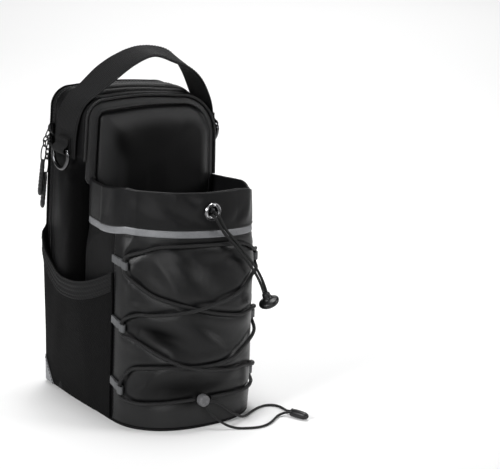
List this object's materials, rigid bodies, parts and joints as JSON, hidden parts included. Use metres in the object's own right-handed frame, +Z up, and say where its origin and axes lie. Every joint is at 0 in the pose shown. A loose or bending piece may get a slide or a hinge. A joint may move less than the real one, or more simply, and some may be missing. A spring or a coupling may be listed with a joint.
{
  "type": "upright sports bag",
  "caption": "Upright black sports bag with a zipped case, drawstring bottle pocket with laced cord, mesh side pockets, webbing carry handle and D-rings.",
  "frame": {"origin": "middle of the base panel, on the surface the bag stands on", "axes": "+Z up, +Y from the bottle pocket to the back panel, +X to the right seen from the front"},
  "size_m": [0.1853, 0.2211, 0.3438],
  "materials": {
    "shell_cloth": "black coated weave, dull sheen",
    "satin_cloth": "black coated cloth, soft gloss",
    "mesh_cloth": "black knitted mesh, matt",
    "zip": "black coil zip on woven tape",
    "webbing": "black ribbed webbing",
    "reflective_tape": "grey reflective tape",
    "cord": "black braided cord",
    "nickel": "polished nickel",
    "gunmetal": "gunmetal, semi gloss",
    "black_plastic": "moulded, satin",
    "grey_plastic": "moulded, satin"
  },
  "bodies": {
    "bag": {"case_gusset": "shell_cloth", "case_front_panel": "shell_cloth", "case_back_panel": "shell_cloth", "front_piping": "shell_cloth", "pocket_side_left": "shell_cloth", "pocket_side_right": "shell_cloth", "base_panel": "shell_cloth", "pocket_front": "satin_cloth", "pocket_collar": "satin_cloth", "mesh_pocket_left": "mesh_cloth", "mesh_pocket_right": "mesh_cloth", "zip_tape": "zip", "carry_handle": "webbing", "ring_tab_left": "webbing", "ring_tab_right": "webbing", "mesh_hem_left": "webbing", "mesh_hem_right": "webbing", "reflective_strip": "reflective_tape", "corner_patch_left": "reflective_tape", "corner_patch_right": "reflective_tape", "cord_loop_left_1": "reflective_tape", "cord_loop_left_2": "reflective_tape", "cord_loop_left_3": "reflective_tape", "cord_loop_right_1": "reflective_tape", "cord_loop_right_2": "reflective_tape", "cord_loop_right_3": "reflective_tape", "bungee_cord": "cord", "drawcord_upper": "cord", "drawcord_lower": "cord", "tail_cord_upper": "cord", "tail_cord_lower": "cord", "drawcord_eyelet": "nickel", "zip_slider_1": "gunmetal", "zip_slider_2": "gunmetal", "drawcord_toggle": "black_plastic", "tail_end": "black_plastic", "zip_pull_1": "black_plastic", "zip_pull_2": "black_plastic", "cord_lock": "grey_plastic"},
    "left_ring": {"d_ring_left": "gunmetal"},
    "right_ring": {"d_ring_right": "gunmetal"}
  },
  "joints": [
    {"name": "left_ring_swing", "type": "hinge", "parent": "bag", "child": "left_ring", "pos_m": [-0.0836, 0.052, 0.25], "axis": [0, 1, 0], "range_deg": [-8, 150]},
    {"name": "right_ring_swing", "type": "hinge", "parent": "bag", "child": "right_ring", "pos_m": [0.0836, 0.048, 0.262], "axis": [0, -1, 0], "range_deg": [-8, 150]}
  ]
}
